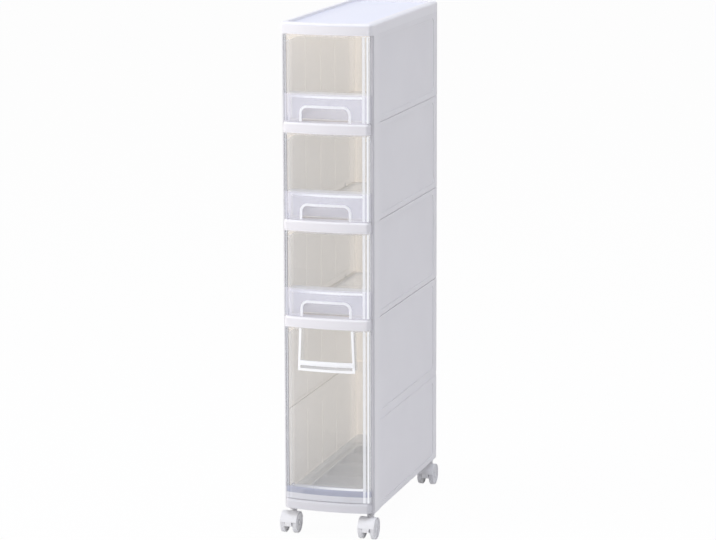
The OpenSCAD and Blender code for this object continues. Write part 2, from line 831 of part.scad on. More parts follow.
// The hood: a curved cover over both wheels, a web between them and the neck for the stem
module caster_hood() color("white") {
    difference() {
        union() {
            // cover
            intersection() {
                difference() {
                    on_axle(hood_r, hood_w);
                    on_axle(hood_r - hood_t, hood_w + 2 * eps);
                }
                above(hood_skirt_z);
            }
            // web between the wheels
            intersection() {
                on_axle(hood_r - hood_t / 2, web_w);
                above(web_foot_z);
            }
            on_axle(hub_r, web_w);
            // neck
            translate([0, 0, axle_z]) cylinder(r = neck_r, h = neck_z - axle_z, $fn = arc_fn);
        }
        translate([0, 0, neck_z - stem_seat]) cylinder(r = stem_d / 2, h = stem_seat + eps, $fn = arc_fn);
        on_axle(axle_d / 2, web_w + 2 * eps);
        // room for the wheels beside the neck
        for (s = [-1, 1])
            translate([s * (web_w / 2 + wheel_w), 0, 0]) on_axle(hood_r - hood_t, 2 * wheel_w);
    }
}

// A disc on the wheels' axle, centred between them
module on_axle(r, w) {
    translate([0, -caster_trail, axle_z]) rotate([0, 90, 0])
        cylinder(r = r, h = w, center = true, $fn = arc_fn);
}

// The space above a level, as large as a caster
module above(z) {
    block([-hood_w, -caster_trail - 2 * hood_r, z], [hood_w, 2 * hood_r, z + 2 * hood_r]);
}

module caster_axle() color("silver") on_axle(axle_d / 2, axle_len);

// Half section of a wheel: x is the radius, y runs from the inner face to the outer face
module wheel_section() {
    r = wheel_d / 2;
    w = wheel_w;
    edge = 1.8;
    hub = 7;
    dish = 1.2;
    tread = 3.5;
    back_dish = 1.5;
    cap_r = 5;
    cap_depth = 1;
    bore_r = axle_d / 2 + run_fit;
    bore_end = axle_len / 2 - wheel_gap / 2 + axle_end_gap;
    difference() {
        union() {
            square([r - edge, w]);
            translate([0, edge]) square([r, w - 2 * edge]);
            for (y = [edge, w - edge]) translate([r - edge, y]) circle(r = edge, $fn = arc_fn);
        }
        translate([0, -eps]) square([bore_r, bore_end + eps]);
        // seat of the hub cap
        translate([0, w - cap_depth]) square([cap_r, cap_depth + eps]);
        // dished faces between hub and tread
        translate([hub, w - dish]) square([r - hub - tread, dish + eps]);
        translate([hub, -eps]) square([r - hub - tread, back_dish + eps]);
    }
}

module caster_wheel(s) color("gainsboro")
    translate([s * wheel_gap / 2, -caster_trail, axle_z]) rotate([0, s * 90, 0])
        rotate_extrude($fn = arc_fn) wheel_section();

// ---------- the assembly ----------

top_panel();
shelf_frame(deck_1);  // shelf_frame_1
shelf_frame(deck_2);  // shelf_frame_2
shelf_frame(deck_3);  // shelf_frame_3
joint_frame();
base_frame();

left_panel(0);  // left_panel_1
left_panel(1);  // left_panel_2
left_panel(2);  // left_panel_3
left_panel(3);  // left_panel_4
left_panel(4);  // left_panel_5
right_panel(0);  // right_panel_1
right_panel(1);  // right_panel_2
right_panel(2);  // right_panel_3
right_panel(3);  // right_panel_4
right_panel(4);  // right_panel_5
back_panel(0);  // back_panel_1
back_panel(1);  // back_panel_2
back_panel(2);  // back_panel_3
back_panel(3);  // back_panel_4
back_panel(4);  // back_panel_5

small_drawer(deck_1);  // small_drawer_1
small_drawer(deck_2);  // small_drawer_2
small_drawer(deck_3);  // small_drawer_3
tall_drawer();

at_caster(-1, front_swivel_y) caster_socket();  // front_left_socket
at_caster(-1, front_swivel_y) caster_stem();  // front_left_stem
at_caster(-1, front_swivel_y) caster_hood();  // front_left_hood
at_caster(-1, front_swivel_y) caster_axle();  // front_left_axle
at_caster(-1, front_swivel_y) caster_wheel(-1);  // front_left_wheel_outer
at_caster(-1, front_swivel_y) caster_wheel(1);  // front_left_wheel_inner
at_caster(1, front_swivel_y) caster_socket();  // front_right_socket
at_caster(1, front_swivel_y) caster_stem();  // front_right_stem
at_caster(1, front_swivel_y) caster_hood();  // front_right_hood
at_caster(1, front_swivel_y) caster_axle();  // front_right_axle
at_caster(1, front_swivel_y) caster_wheel(1);  // front_right_wheel_outer
at_caster(1, front_swivel_y) caster_wheel(-1);  // front_right_wheel_inner
at_caster(-1, rear_swivel_y) caster_socket();  // rear_left_socket
at_caster(-1, rear_swivel_y) caster_stem();  // rear_left_stem
at_caster(-1, rear_swivel_y) caster_hood();  // rear_left_hood
at_caster(-1, rear_swivel_y) caster_axle();  // rear_left_axle
at_caster(-1, rear_swivel_y) caster_wheel(-1);  // rear_left_wheel_outer
at_caster(-1, rear_swivel_y) caster_wheel(1);  // rear_left_wheel_inner
at_caster(1, rear_swivel_y) caster_socket();  // rear_right_socket
at_caster(1, rear_swivel_y) caster_stem();  // rear_right_stem
at_caster(1, rear_swivel_y) caster_hood();  // rear_right_hood
at_caster(1, rear_swivel_y) caster_axle();  // rear_right_axle
at_caster(1, rear_swivel_y) caster_wheel(1);  // rear_right_wheel_outer
at_caster(1, rear_swivel_y) caster_wheel(-1);  // rear_right_wheel_inner
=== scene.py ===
# %% [markdown]
# # A slim drawer tower, dressed in plastic and steel
# The tower arrives as finished solids: panels, frames, clear drawers and casters, already in place
# and already jointed. What this lesson adds is how they look: moulded white plastic with a fine
# grain, clear drawers that turn milky where they are thick or seen edge-on, plain steel shafts,
# and the small trim that is too fine for the solids. Everything is in metres, +Z is up and the
# drawers pull out along -Y.

# %% Loading the solids
import json
import math

import bmesh
import bpy
from mathutils import Matrix, Vector


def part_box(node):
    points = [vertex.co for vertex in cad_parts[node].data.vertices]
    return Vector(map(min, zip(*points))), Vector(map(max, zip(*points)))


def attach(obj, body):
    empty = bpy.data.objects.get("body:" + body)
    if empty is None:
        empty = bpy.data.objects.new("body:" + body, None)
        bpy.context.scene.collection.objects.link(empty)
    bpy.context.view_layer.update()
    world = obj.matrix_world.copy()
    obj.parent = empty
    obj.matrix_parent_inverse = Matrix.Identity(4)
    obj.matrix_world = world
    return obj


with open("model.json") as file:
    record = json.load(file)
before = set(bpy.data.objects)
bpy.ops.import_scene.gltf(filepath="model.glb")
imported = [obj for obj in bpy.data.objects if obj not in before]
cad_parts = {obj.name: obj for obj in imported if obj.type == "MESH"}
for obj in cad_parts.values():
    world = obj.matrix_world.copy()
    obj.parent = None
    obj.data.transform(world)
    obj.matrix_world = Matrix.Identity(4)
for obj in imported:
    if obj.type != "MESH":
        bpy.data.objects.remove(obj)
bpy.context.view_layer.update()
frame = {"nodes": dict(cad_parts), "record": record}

# %% [markdown]
# ## The camera
# A product camera stands well back and uses a long lens, so that the tall sides stay nearly
# parallel. It is turned to the tower's right-hand side and looks down a little. A camera looks
# along its own -Z, so its matrix is made from three directions: right, up and backwards.

# %% Placing the camera
IMAGE_W = 716
IMAGE_H = 540
FOCAL_PX = 2881
SENSOR_MM = 36
VIEW_END = 200
CAMERA_AT = Vector((1.633, -5.301, 1.568))
YAW = math.radians(17.19)
PITCH = math.radians(-11.09)
ROLL = math.radians(-0.17)

forward = Vector((-math.sin(YAW) * math.cos(PITCH), math.cos(YAW) * math.cos(PITCH), math.sin(PITCH)))
level_right = Vector((math.cos(YAW), math.sin(YAW), 0))
level_up = level_right.cross(forward)
right = level_right * math.cos(ROLL) + level_up * math.sin(ROLL)
up = right.cross(forward)

lens = bpy.data.cameras.new("product_lens")
lens.sensor_width = SENSOR_MM
lens.lens = FOCAL_PX * SENSOR_MM / IMAGE_W
lens.clip_end = VIEW_END
camera = bpy.data.objects.new("product_camera", lens)
camera.matrix_world = Matrix((right, up, -forward)).transposed().to_4x4()
camera.location = CAMERA_AT
bpy.context.scene.collection.objects.link(camera)
bpy.context.scene.camera = camera
print("camera: lens", round(lens.lens, 1), "mm, for a picture of", IMAGE_W, "by", IMAGE_H)

# %% [markdown]
# ## Lamps
# White plastic is lit softly, or its rims and grooves disappear. One large lamp stands well to the
# left of the front, so that the bowed fronts grow darker to the right while the left side stays
# just below white. A weak lamp fills the right and a cool one hangs overhead.

# %% Three soft lamps
TOWER_MIDDLE = Vector((0, 0, 0.5))
# name, place, width in metres, watts, tint
LAMPS = [
    ("key_light", (-4.1, -2.95, 1.9), 2.2, 127, (1, 0.98, 0.965)),
    ("fill_light", (3.8, -2.2, 1.6), 3.0, 5, (0.96, 0.97, 1)),
    ("top_light", (0.3, -0.4, 4.4), 2.6, 68, (0.82, 0.87, 1)),
]


def soft_lamp(name, place, width, watts, tint):
    lamp = bpy.data.lights.new(name, "AREA")
    lamp.shape = "SQUARE"
    lamp.size = width
    lamp.energy = watts
    lamp.color = tint
    holder = bpy.data.objects.new(name, lamp)
    holder.location = place
    holder.rotation_euler = (TOWER_MIDDLE - Vector(place)).to_track_quat("-Z", "Y").to_euler()
    bpy.context.scene.collection.objects.link(holder)
    print("lamp", name, "of", watts, "W,", width, "m wide")


for lamp_facts in LAMPS:
    soft_lamp(*lamp_facts)

# %% [markdown]
# ## The world
# The world gives an even, slightly cool light from all round. To the camera, in reflections and
# through clear parts it shows pure white instead, which is the light box that such things are
# shown in. A Light Path node tells these rays from the rest.

# %% A light box
WORLD_FILL = 0.45
WORLD_TINT = (0.965, 0.955, 1, 1)
SEEN_WHITE = 1.0


def seen_by_the_eye(tree):
    """Gives 1 where the camera sees a surface directly, mirrored or through clear parts, else 0."""
    path = tree.nodes.new("ShaderNodeLightPath")
    seen = path.outputs["Is Camera Ray"]
    for ray in ("Is Glossy Ray", "Is Transmission Ray"):
        either = tree.nodes.new("ShaderNodeMath")
        either.operation = "MAXIMUM"
        tree.links.new(seen, either.inputs[0])
        tree.links.new(path.outputs[ray], either.inputs[1])
        seen = either.outputs[0]
    return seen


world = bpy.data.worlds.new("light_box")
bpy.context.scene.world = world
world.use_nodes = True
sky = world.node_tree
sky.nodes.clear()
around = sky.nodes.new("ShaderNodeBackground")
around.inputs["Color"].default_value = WORLD_TINT
around.inputs["Strength"].default_value = WORLD_FILL
white = sky.nodes.new("ShaderNodeBackground")
white.inputs["Color"].default_value = (1, 1, 1, 1)
white.inputs["Strength"].default_value = SEEN_WHITE
either_way = sky.nodes.new("ShaderNodeMixShader")
sky.links.new(seen_by_the_eye(sky), either_way.inputs[0])
sky.links.new(around.outputs[0], either_way.inputs[1])
sky.links.new(white.outputs[0], either_way.inputs[2])
sky_out = sky.nodes.new("ShaderNodeOutputWorld")
sky.links.new(either_way.outputs[0], sky_out.inputs["Surface"])
bpy.context.scene.view_settings.view_transform = "Standard"
print("world: strength", WORLD_FILL, "for light,", SEEN_WHITE, "to the eye")

# %% [markdown]
# ## Building materials
# Every material here is a small tree of shader nodes. A few helpers keep the cells short: one
# makes a node and fills its sockets, others do a sum, a product or a ramp, and one starts a
# material with a Principled shader whose plain values sit on its own sockets.

# %% Helpers for shader trees
def shader_node(tree, kind, sockets=None, **settings):
    made = tree.nodes.new(kind)
    for name, value in settings.items():
        setattr(made, name, value)
    for name, value in (sockets or {}).items():
        if isinstance(value, bpy.types.NodeSocket):
            tree.links.new(value, made.inputs[name])
        else:
            made.inputs[name].default_value = value
    return made


def sum_of(tree, operation, *values):
    return shader_node(tree, "ShaderNodeMath", dict(enumerate(values)), operation=operation).outputs[0]


def product(tree, first, *others):
    for value in others:
        first = sum_of(tree, "MULTIPLY", first, value)
    return first


def ramp(tree, value, ends, results=(0.0, 1.0)):
    return shader_node(tree, "ShaderNodeMapRange", {
        "Value": value, "From Min": ends[0], "From Max": ends[1],
        "To Min": results[0], "To Max": results[1]}).outputs[0]


def blend_colour(tree, factor, colour_a, colour_b):
    return shader_node(
        tree, "ShaderNodeMix", {0: factor, 6: colour_a, 7: colour_b}, data_type="RGBA").outputs[2]


def start_material(name, **plain_values):
    material = bpy.data.materials.new(name)
    material.use_nodes = True
    tree = material.node_tree
    principled = tree.nodes["Principled BSDF"]
    for socket, value in plain_values.items():
        principled.inputs[socket.replace("_", " ")].default_value = value
    return material, tree, principled


print("helpers for nodes ready")

# %% [markdown]
# ## Finding a place on a piece
# Several finishes change from one part of a moulding to the next, as where a band is polished or
# a wall is textured. A mask is a number that is 1 there and 0 elsewhere. It is made by comparing
# the shaded point's X, Y and Z with limits, and two masks are joined by multiplying them.

# %% Masks
def place_on(tree):
    place = shader_node(tree, "ShaderNodeTexCoord").outputs["Object"]
    parts = shader_node(tree, "ShaderNodeSeparateXYZ", {"Vector": place}).outputs
    return parts["X"], parts["Y"], parts["Z"]


def upward(tree):
    """Gives 1 on a floor, 0 on a wall and -1 under a ceiling."""
    normal = shader_node(tree, "ShaderNodeNewGeometry").outputs["True Normal"]
    return shader_node(tree, "ShaderNodeSeparateXYZ", {"Vector": normal}).outputs["Z"]


def above(tree, value, limit):
    return sum_of(tree, "GREATER_THAN", value, limit)


def below(tree, value, limit):
    return sum_of(tree, "LESS_THAN", value, limit)


def between(tree, value, low, high):
    return product(tree, above(tree, value, low), below(tree, value, high))


def opposite(tree, mask):
    return sum_of(tree, "SUBTRACT", 1.0, mask)


print("helpers for masks ready")

# %% [markdown]
# ## A shared effect: moulded grain
# An injection mould is spark-eroded, so the plastic comes out with a fine even grain, and the melt
# cools in faint clouds that change its gloss by a few parts in a hundred. Several finishes need
# both, at different sizes, so they live in one node group with named inputs and outputs.

# %% The moulded grain group
def new_group(name, inputs, outputs):
    group = bpy.data.node_groups.new(name, "ShaderNodeTree")
    for socket, default in inputs:
        made = group.interface.new_socket(socket, in_out="INPUT", socket_type="NodeSocketFloat")
        made.default_value = default
    for socket in outputs:
        group.interface.new_socket(socket, in_out="OUTPUT", socket_type="NodeSocketFloat")
    start = group.nodes.new("NodeGroupInput")
    end = group.nodes.new("NodeGroupOutput")
    print("group", name, "takes", [i[0] for i in inputs], "and gives", outputs)
    return group, start, end


grain_group, grain_in, grain_out = new_group(
    "moulded grain", [("Grain Size", 0.0006), ("Cloud Size", 0.08)], ["Height", "Clouds"])
place = shader_node(grain_group, "ShaderNodeTexCoord").outputs["Object"]
fine_scale = sum_of(grain_group, "DIVIDE", 1.0, grain_in.outputs["Grain Size"])
cloud_scale = sum_of(grain_group, "DIVIDE", 1.0, grain_in.outputs["Cloud Size"])
fine = shader_node(grain_group, "ShaderNodeTexNoise", {"Vector": place, "Scale": fine_scale, "Detail": 2.0})
clouds = shader_node(
    grain_group, "ShaderNodeTexNoise",
    {"Vector": place, "Scale": cloud_scale, "Detail": 4.0, "Roughness": 0.6, "Distortion": 0.4})
grain_group.links.new(fine.outputs["Fac"], grain_out.inputs["Height"])
grain_group.links.new(clouds.outputs["Fac"], grain_out.inputs["Clouds"])

# %% [markdown]
# ## A shared effect: handling marks
# Satin plastic that is touched gets short, faint scuffs. A stretched noise, cut to its highest
# values, gives thin streaks that only change the gloss.

# %% The handling marks group
STREAK_STRETCH = (1, 1, 0.22)
STREAK_CUT = (0.62, 0.78)

marks_group, marks_in, marks_out = new_group("handling marks", [("Size", 0.02), ("Amount", 0.3)], ["Marks"])
place = shader_node(marks_group, "ShaderNodeTexCoord").outputs["Object"]
stretched = shader_node(marks_group, "ShaderNodeMapping", {"Vector": place, "Scale": STREAK_STRETCH})
marks_scale = sum_of(marks_group, "DIVIDE", 1.0, marks_in.outputs["Size"])
streaks = shader_node(
    marks_group, "ShaderNodeTexNoise",
    {"Vector": stretched.outputs[0], "Scale": marks_scale, "Detail": 6.0, "Roughness": 0.7, "Distortion": 1.5})
highest = ramp(marks_group, streaks.outputs["Fac"], STREAK_CUT)
marks_group.links.new(
    product(marks_group, highest, marks_in.outputs["Amount"]), marks_out.inputs["Marks"])

# %% [markdown]
# ## Satin moulded plastic
# Panels, frames and top are white polypropylene with a satin face. A mould's edges are never
# sharp, so a Bevel node rounds the shading over half a millimetre. The clouds move the roughness
# a little, and the marks add to it.

# %% Satin finish for any moulded part
CLOUD_SPAN = (0.3, 0.7)
MARK_ROUGHNESS = 0.2
GRAIN_DEPTH = 0.0003


def add_satin(tree, principled, grain_size, bump, roughness, edge_radius):
    grain = shader_node(tree, "ShaderNodeGroup", {"Grain Size": grain_size}, node_tree=grain_group)
    marks = shader_node(tree, "ShaderNodeGroup", node_tree=marks_group)
    gloss = ramp(tree, grain.outputs["Clouds"], CLOUD_SPAN, roughness)
    scuffed = product(tree, marks.outputs["Marks"], MARK_ROUGHNESS)
    tree.links.new(sum_of(tree, "ADD", gloss, scuffed), principled.inputs["Roughness"])
    edge = shader_node(tree, "ShaderNodeBevel", {"Radius": edge_radius}, samples=4)
    bumped = shader_node(tree, "ShaderNodeBump", {
        "Height": grain.outputs["Height"], "Normal": edge.outputs[0],
        "Strength": bump, "Distance": GRAIN_DEPTH})
    tree.links.new(bumped.outputs[0], principled.inputs["Normal"])
    return grain.outputs["Clouds"]


print("satin finish ready")

# %% [markdown]
# ## Where light and shade are painted on the cabinet
# One white plastic doesn't look the same all over the cabinet, and here light and shade are painted into its
# colour. The rounded shoulders of the bands get a painted highlight, the skirt of the top is painted a little
# lighter and the base's band darker, and the top's sunk flat gets a painted reflection of the cool light above
# it. The narrow front edges of the side panels get painted shade, and the panels are painted a little lighter
# towards them. Inside, the walls are painted cream and given a painted glow, for warm light that comes through
# them. Each of these places gets a mask and a tone.

# %% The places of each tone
INNER_WALL_X = 0.0877
OUTER_FACE_X = 0.0885
INSIDE_Y = (-0.204, 0.2296)
INSIDE_Z = (0.069, 0.9835)
FRONT_EDGE_X = (0.0812, 0.0905)
FRONT_EDGE_Y = (-0.2116, -0.2083)
FRONT_EDGE_TOP = 0.9675
NEAR_FRONT_Y = (-0.205, -0.165)
SKIRT_Z = 0.9683
WALL_LIMIT = 0.15
FLAT_Z = (0.9845, 0.9855)
FLAT_HALF_X = 0.0785
BASE_BAND_TOP = 0.0712
BAND_BACK_Y = -0.2117
SHOULDER_STARTS = (0.12, 0.45)
SHOULDER_ENDS = (0.85, 0.97)
FLOOR_LIMIT = 0.9
print("inside of the cabinet: X up to", INNER_WALL_X, "Y", INSIDE_Y, "Z", INSIDE_Z)

# %% [markdown]
# ## A tone for each place
# The tones are colours with light and shade painted into them. They stay close together, since all of it is
# one plastic: only the painted cream inside and the painted shade on the front edges differ at first sight.

# %% The tones and their masks
CABINET_WHITE = (0.90, 0.888, 0.906, 1)
CABINET_CLOUD = (0.88, 0.868, 0.89, 1)
# painted highlight: the outer faces of the side panels grow lighter towards the front
NEAR_FRONT_HIGHLIGHT = (0.935, 0.925, 0.935, 1)
# painted shade: the narrow front edges of the side panels, shaded by the fronts that stand ahead of them
FRONT_EDGE_SHADE = (0.69, 0.68, 0.70, 1)
# painted light: the upright faces of the top's skirt are a little lighter than the white
SKIRT_PAINTED_LIGHT = (0.925, 0.915, 0.935, 1)
# painted reflection of the cool light above, on the top's sunk flat
FLAT_REFLECTION_BLUE = (0.855, 0.865, 0.945, 1)
# painted shade: the base's band is darker than the white
BASE_PAINTED_SHADE = (0.745, 0.74, 0.765, 1)
# painted highlight on the rounded shoulders of bands, skirt and rims, where they face up
SHOULDER_HIGHLIGHT = (0.975, 0.965, 0.98, 1)
# painted warm light: the inside faces are cream, and they glow in this colour though they are no lamp
INSIDE_PAINTED_CREAM = (0.80, 0.755, 0.70, 1)
INSIDE_PAINTED_GLOW = 0.43


def cabinet_zones(tree):
    """Gives pairs of mask and painted tone, first to last, and a mask of the inner faces that get the painted
    glow.
    """
    x, y, z = place_on(tree)
    across = sum_of(tree, "ABSOLUTE", x)
    rise = upward(tree)
    # painted highlight towards the front of the side panels' outer faces
    near_front = product(tree, ramp(tree, y, NEAR_FRONT_Y, (1.0, 0.0)), above(tree, across, OUTER_FACE_X))
    # painted shade on the front edges of the side panels
    front_edge = product(
        tree, between(tree, across, *FRONT_EDGE_X), between(tree, y, *FRONT_EDGE_Y),
        below(tree, z, FRONT_EDGE_TOP))
    # painted light on the upright faces of the top's skirt
    skirt = product(tree, above(tree, z, SKIRT_Z), below(tree, rise, WALL_LIMIT))
    # painted reflection on the top's sunk flat
    flat = product(tree, between(tree, z, *FLAT_Z), below(tree, across, FLAT_HALF_X))
    # painted shade on the base's band
    base_band = product(tree, below(tree, z, BASE_BAND_TOP), below(tree, y, BAND_BACK_Y))
    # painted highlight on rounded shoulders that face up
    shoulder = product(
        tree, ramp(tree, rise, SHOULDER_STARTS), ramp(tree, rise, SHOULDER_ENDS, (1.0, 0.0)),
        opposite(tree, base_band))
    # painted warm light and glow on the inner faces
    inside = product(
        tree, below(tree, across, INNER_WALL_X), between(tree, y, *INSIDE_Y), between(tree, z, *INSIDE_Z))
    # every tone in this list is painted light or shade
    zones = [
        (near_front, NEAR_FRONT_HIGHLIGHT), (front_edge, FRONT_EDGE_SHADE), (skirt, SKIRT_PAINTED_LIGHT),
        (flat, FLAT_REFLECTION_BLUE), (base_band, BASE_PAINTED_SHADE), (shoulder, SHOULDER_HIGHLIGHT), (inside, INSIDE_PAINTED_CREAM)]
    return zones, product(tree, inside, below(tree, rise, FLOOR_LIMIT))


print("tones ready")

# %% [markdown]
# ## The cabinet's white plastic
# The tones are laid over the clouded white one after another. The cream inside also gets a painted glow of its
# own colour, which stands for the light that comes through its walls; its floors don't, because they are
# doubled by the frames.

# %% White plastic for panels, frames and top
def cabinet_plastic():
    material, tree, principled = start_material("cabinet_plastic", IOR=1.49, Specular_IOR_Level=0.4)
    clouded = add_satin(
        tree, principled, grain_size=0.0007, bump=0.12, roughness=(0.36, 0.46), edge_radius=0.0006)
    colour = blend_colour(tree, clouded, CABINET_WHITE, CABINET_CLOUD)
    zones, glowing = cabinet_zones(tree)
    for mask, tone in zones:
        colour = blend_colour(tree, mask, colour, tone)
    tree.links.new(colour, principled.inputs["Base Color"])
    # painted glow on the inner faces that are not floors
    glow = blend_colour(tree, glowing, (0, 0, 0, 1), INSIDE_PAINTED_CREAM)
    tree.links.new(glow, principled.inputs["Emission Color"])
    principled.inputs["Emission Strength"].default_value = INSIDE_PAINTED_GLOW
    print("material", material.name, "with", len(zones), "tones over its white")
    return material


white_plastic = cabinet_plastic()

# %% [markdown]
# ## The other solid plastics
# The back panels are painted cream and get the same painted glow as the inside, for warm light that comes
# through them; the caster hoods are a harder and glossier white, and the wheels a slightly grey one that is
# duller.

# %% Back sheet, hood and wheel plastic
def plain_plastic(name, colour, cloud, roughness, glow=0.0):
    material, tree, principled = start_material(name, IOR=1.49, Emission_Color=colour, Emission_Strength=glow)
    clouded = add_satin(
        tree, principled, grain_size=0.0005, bump=0.08, roughness=roughness, edge_radius=0.0004)
    tree.links.new(blend_colour(tree, clouded, colour, cloud), principled.inputs["Base Color"])
    print("material", material.name)
    return material


# the back sheet is painted cream with the same painted glow as the inside
back_plastic = plain_plastic(
    "back_sheet", (0.82, 0.775, 0.72, 1), (0.79, 0.745, 0.69, 1), (0.42, 0.55), INSIDE_PAINTED_GLOW)
hood_plastic = plain_plastic(
    "caster_hood_plastic", (0.93, 0.93, 0.935, 1), (0.91, 0.91, 0.92, 1), (0.25, 0.34))
wheel_plastic = plain_plastic(
    "wheel_plastic", (0.83, 0.83, 0.84, 1), (0.79, 0.79, 0.81, 1), (0.34, 0.48))

# %% [markdown]
# ## Bright steel
# Stems and axles are drawn steel: fine rings run round them from the die. A wave along the part
# gives rings in height, and the grain group's clouds vary the colour and the gloss.

# %% Drawn steel
STEEL_LIGHT = (0.66, 0.66, 0.68, 1)
STEEL_DARK = (0.52, 0.52, 0.55, 1)
STEEL_ROUGHNESS = (0.2, 0.42)
RING_SCALE = 700.0
RING_DEPTH = 0.0001


def drawn_steel():
    material, tree, principled = start_material("drawn_steel", Metallic=1.0)
    grain = shader_node(
        tree, "ShaderNodeGroup", {"Grain Size": 0.0003, "Cloud Size": 0.004}, node_tree=grain_group)
    clouded = grain.outputs["Clouds"]
    tree.links.new(blend_colour(tree, clouded, STEEL_LIGHT, STEEL_DARK), principled.inputs["Base Color"])
    tree.links.new(ramp(tree, clouded, (0.0, 1.0), STEEL_ROUGHNESS), principled.inputs["Roughness"])
    place = shader_node(tree, "ShaderNodeTexCoord").outputs["Object"]
    rings = shader_node(tree, "ShaderNodeTexWave", {"Vector": place, "Scale": RING_SCALE}, bands_direction="Z")
    bumped = shader_node(
        tree, "ShaderNodeBump", {"Height": rings.outputs["Fac"], "Strength": 0.15, "Distance": RING_DEPTH})
    tree.links.new(bumped.outputs[0], principled.inputs["Normal"])
    print("material", material.name)
    return material


steel = drawn_steel()

# %% [markdown]
# ## Where a clear drawer changes
# Clear polystyrene hides least where we look straight through it, and turns bright where a wall is seen
# edge-on, where it is thick and where it is textured. These masks find the beads that stand proud of the
# front, level faces such as the ledge and the rim, the textured band behind the finger pull (on the tall
# drawer a band of painted shade at its foot instead), the milky sill at the foot of the tall drawer, a painted
# highlight line under the ledge and painted highlight strips down both ends of a front. A bead is found by its
# distance from the axis of the front's bow, because nothing else on the drawer stands that far out.

# %% The places on a drawer
DECKS = {"small_drawer_1": 0.8025, "small_drawer_2": 0.6165, "small_drawer_3": 0.4305}
LEDGE_RISE = 0.054
LEDGE_HALF_X = 0.0712
POCKET_BACK_Y = -0.1955
WALL_Y = -0.19
FRONT_ZONE_Y = -0.212
BOW_AXIS_Y = 0.17625
BEAD_RADIUS = 0.4070
# painted highlight strips down both ends of a front
INNER_HIGHLIGHT_X = (0.0712, 0.0760)
OUTER_HIGHLIGHT_X = (0.0795, 0.0835)
INNER_HIGHLIGHT_SHARE = 0.6
# share of the painted highlight line under the ledge
LINE_SHARE = 0.85


def clear_zones(tree, haze_and_shade_z, line_z, sill_top):
    x, y, z = place_on(tree)
    across = sum_of(tree, "ABSOLUTE", x)
    in_front = below(tree, y, FRONT_ZONE_Y)
    behind_axis = sum_of(tree, "SUBTRACT", y, BOW_AXIS_Y)
    squares = sum_of(tree, "ADD", product(tree, behind_axis, behind_axis), product(tree, x, x))
    level = above(tree, sum_of(tree, "ABSOLUTE", upward(tree)), FLOOR_LIMIT)
    # painted highlight strips at the ends of a front, the inner one at part strength
    inner_highlight = product(tree, between(tree, across, *INNER_HIGHLIGHT_X), INNER_HIGHLIGHT_SHARE)
    end_highlight = sum_of(tree, "ADD", inner_highlight, between(tree, across, *OUTER_HIGHLIGHT_X))
    from_behind = shader_node(tree, "ShaderNodeNewGeometry").outputs["Backfacing"]
    return {
        "bead": above(tree, sum_of(tree, "SQRT", squares), BEAD_RADIUS),
        "level": level,
        # the small drawers' textured band, and on the tall drawer a band of painted shade at the foot
        "haze_and_shade": product(tree, between(tree, z, *haze_and_shade_z), below(tree, y, POCKET_BACK_Y)),
        "sill": product(tree, in_front, below(tree, z, sill_top)),
        "walls": above(tree, y, WALL_Y),
        # painted highlight line under the ledge
        "line": product(
            tree, between(tree, z, *line_z), in_front, below(tree, across, LEDGE_HALF_X),
            LINE_SHARE, opposite(tree, level)),
        # painted highlight strips at the ends of a front
        "ribs": product(tree, in_front, end_highlight),
        # painted shade at the outer end of a front, seen through the plastic
        "far_end": product(tree, in_front, above(tree, across, OUTER_HIGHLIGHT_X[1]), from_behind),
    }


print("decks of the small drawers:", DECKS)

# %% [markdown]
# ## How clear each place is
# Alpha does the work: a low base value, more at glancing angles, and a share for each mask. The line and the
# end strips are painted highlights with a painted glow, strongest towards someone who stands before them; all
# the clear plastic gets a fainter painted glow. The outer end of a front, seen through the plastic, gets
# painted shade, the one dark line on it.

# %% Tints and shares
CLEAR_BASE = 0.05
CLEAR_MOST = 0.97
CLEAR_TINT = (0.90, 0.93, 0.97, 1)
WALL_TINT = (0.66, 0.68, 0.71, 1)
SILL_TINT = (0.76, 0.765, 0.80, 1)
HAZE_TINT = (0.91, 0.91, 1.0, 1)
# painted shade: the dark band at the tall drawer's foot, where the space under its raised floor is in shadow
FOOT_SHADE_TINT = (0.46, 0.49, 0.62, 1)
# the beads' milky tint, and also the colour of the painted glow
MILK_AND_GLOW_TINT = (0.95, 0.96, 0.98, 1)
# darker plastic under the painted highlight, so that its brightness comes from the painted glow
HIGHLIGHT_BASE_TINT = (0.40, 0.41, 0.43, 1)
# painted shade at the outer end of each front
FAR_END_SHADE = (0.22, 0.22, 0.25, 1)
# a faint painted glow over all the clear plastic; EDGE_GLOW is the strength of all painted glow on it
FAINT_GLOW = (0.16, 0.162, 0.166, 1)
EDGE_GLOW = 0.6
SHARES = {"rim": 0.8, "level": 0.14, "sill": 0.6, "walls": 0.05, "far_end": 0.6}
GLANCING_POWER = 4.0
GLANCING_SHARE = 0.62
# the painted highlight is brightest seen straight on and keeps this share from the side
STRAIGHT_ON = (0.055, 0.125)
HIGHLIGHT_FROM_ASIDE = 0.12
SMOOTH_ROUGHNESS = 0.1
MARKED_ROUGHNESS = 0.3
RIPPLE_SIZE = 0.012
RIPPLE_DEPTH = 0.0006


def add_polish(tree, principled):
    """A faint ripple in the face and a few handling marks in the gloss."""
    grain = shader_node(tree, "ShaderNodeGroup", {"Grain Size": RIPPLE_SIZE}, node_tree=grain_group)
    ripple = shader_node(tree, "ShaderNodeBump", {
        "Height": grain.outputs["Height"], "Strength": 0.05, "Distance": RIPPLE_DEPTH})
    tree.links.new(ripple.outputs[0], principled.inputs["Normal"])
    marks = shader_node(tree, "ShaderNodeGroup", node_tree=marks_group)
    scuffed = product(tree, marks.outputs["Marks"], MARKED_ROUGHNESS)
    tree.links.new(sum_of(tree, "ADD", SMOOTH_ROUGHNESS, scuffed), principled.inputs["Roughness"])


print("shares of alpha:", SHARES)

